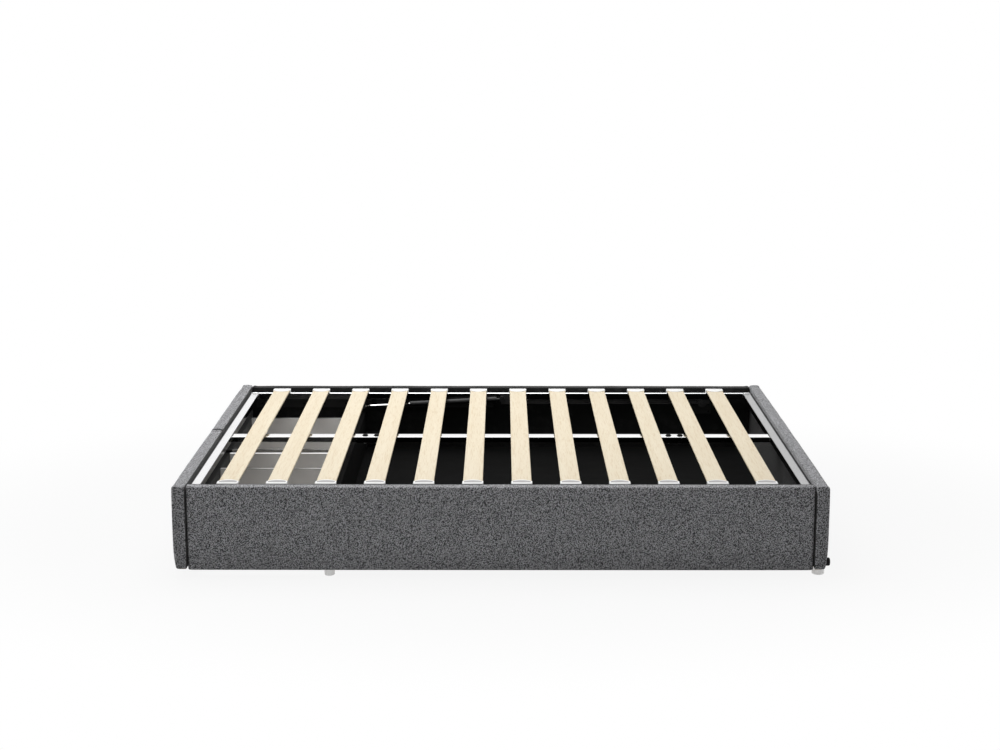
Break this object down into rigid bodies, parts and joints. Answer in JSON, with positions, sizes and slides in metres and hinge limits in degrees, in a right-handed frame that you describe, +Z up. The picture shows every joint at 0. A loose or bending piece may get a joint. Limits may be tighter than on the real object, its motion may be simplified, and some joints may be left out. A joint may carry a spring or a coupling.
{
  "type": "tatami platform bed",
  "caption": "Low upholstered platform bed with a slatted steel deck that lifts on gas struts over a storage box, and drawers in its foot end.",
  "frame": {"origin": "on the floor, under the middle of the bed's overall box", "axes": "+X towards the head end, -X towards the foot end with the drawers; +Y towards the back side rail; +Z up"},
  "size_m": [2.143, 1.626, 0.31],
  "materials": {
    "cover_fabric": "woven, matt",
    "board_wood": "plain board",
    "slat_wood": "pale birch, lacquered",
    "cap_plastic": "white, smooth",
    "deck_steel": "light grey powder coat",
    "black_steel": "black powder coat",
    "black_board": "black laminate",
    "drawer_board": "light grey laminate",
    "foot_plastic": "white, smooth",
    "bumper_rubber": "black, matt",
    "runner_steel": "zinc plated",
    "bolt_steel": "black oxide",
    "strut_chrome": "polished",
    "strut_black": "gloss black"
  },
  "bodies": {
    "base": {"front_rail_board": "board_wood", "front_rail_cover": "cover_fabric", "back_rail_board": "board_wood", "back_rail_cover": "cover_fabric", "head_panel_board": "board_wood", "head_panel_cover": "cover_fabric", "wall_bumpers": "bumper_rubber", "cross_panel": "black_board", "storage_floor_front": "black_board", "storage_floor_back": "black_board", "floor_joist": "black_steel", "floor_cleats": "board_wood", "foot_crossbar": "black_steel", "drawer_divider": "drawer_board", "front_runner_board": "black_board", "back_runner_board": "black_board", "runner_tracks": "runner_steel", "corner_brackets": "black_steel", "frame_bolts": "bolt_steel", "glide_feet": "foot_plastic", "rail_ledges": "black_steel", "hinge_plates": "black_steel", "strut_brackets": "black_steel"},
    "deck": {"slat_01": "slat_wood", "slat_02": "slat_wood", "slat_03": "slat_wood", "slat_04": "slat_wood", "slat_05": "slat_wood", "slat_06": "slat_wood", "slat_07": "slat_wood", "slat_08": "slat_wood", "slat_09": "slat_wood", "slat_10": "slat_wood", "slat_11": "slat_wood", "slat_12": "slat_wood", "front_slat_caps": "cap_plastic", "back_slat_caps": "cap_plastic", "front_side_tube": "deck_steel", "back_side_tube": "deck_steel", "foot_end_tube": "deck_steel", "head_end_tube": "deck_steel", "center_beam": "deck_steel", "beam_bolts": "bolt_steel", "front_lift_arm": "deck_steel", "back_lift_arm": "deck_steel"},
    "front_strut_rod": {"front_strut_rod": "strut_chrome"},
    "front_strut_cylinder": {"front_strut_cylinder": "strut_black"},
    "front_drawer": {"front_drawer_board": "board_wood", "front_drawer_cover": "cover_fabric", "front_drawer_box": "drawer_board", "front_drawer_bottom": "drawer_board", "front_drawer_slides": "runner_steel"},
    "back_strut_rod": {"back_strut_rod": "strut_chrome"},
    "back_strut_cylinder": {"back_strut_cylinder": "strut_black"},
    "back_drawer": {"back_drawer_board": "board_wood", "back_drawer_cover": "cover_fabric", "back_drawer_box": "drawer_board", "back_drawer_bottom": "drawer_board", "back_drawer_slides": "runner_steel"}
  },
  "joints": [
    {"name": "deck_lift", "type": "hinge", "parent": "base", "child": "deck", "pos_m": [0.8155, 0, 0.251], "axis": [0, 1, 0], "range_deg": [0, 30]},
    {"name": "front_strut_tilt", "type": "hinge", "parent": "base", "child": "front_strut_rod", "pos_m": [-0.5645, -0.711, 0.241], "axis": [0, -1, 0], "range_deg": [0, 30]},
    {"name": "front_strut_extend", "type": "slide", "parent": "front_strut_rod", "child": "front_strut_cylinder", "axis": [0.9986, 0, 0.053], "range_m": [0, 0.25]},
    {"name": "back_strut_tilt", "type": "hinge", "parent": "base", "child": "back_strut_rod", "pos_m": [-0.5645, 0.711, 0.241], "axis": [0, -1, 0], "range_deg": [0, 30]},
    {"name": "back_strut_extend", "type": "slide", "parent": "back_strut_rod", "child": "back_strut_cylinder", "axis": [0.9986, 0, 0.053], "range_m": [0, 0.25]},
    {"name": "front_drawer_slide", "type": "slide", "parent": "base", "child": "front_drawer", "axis": [-1, 0, 0], "range_m": [0, 0.33]},
    {"name": "back_drawer_slide", "type": "slide", "parent": "base", "child": "back_drawer", "axis": [-1, 0, 0], "range_m": [0, 0.33]}
  ],
  "couplings": [
    {"joint": "front_strut_tilt", "follows": "deck_lift", "ratio": 0.97992},
    {"joint": "front_strut_extend", "follows": "deck_lift", "m_per_rad": 0.46767},
    {"joint": "back_strut_tilt", "follows": "deck_lift", "ratio": 0.97992},
    {"joint": "back_strut_extend", "follows": "deck_lift", "m_per_rad": 0.46767}
  ]
}
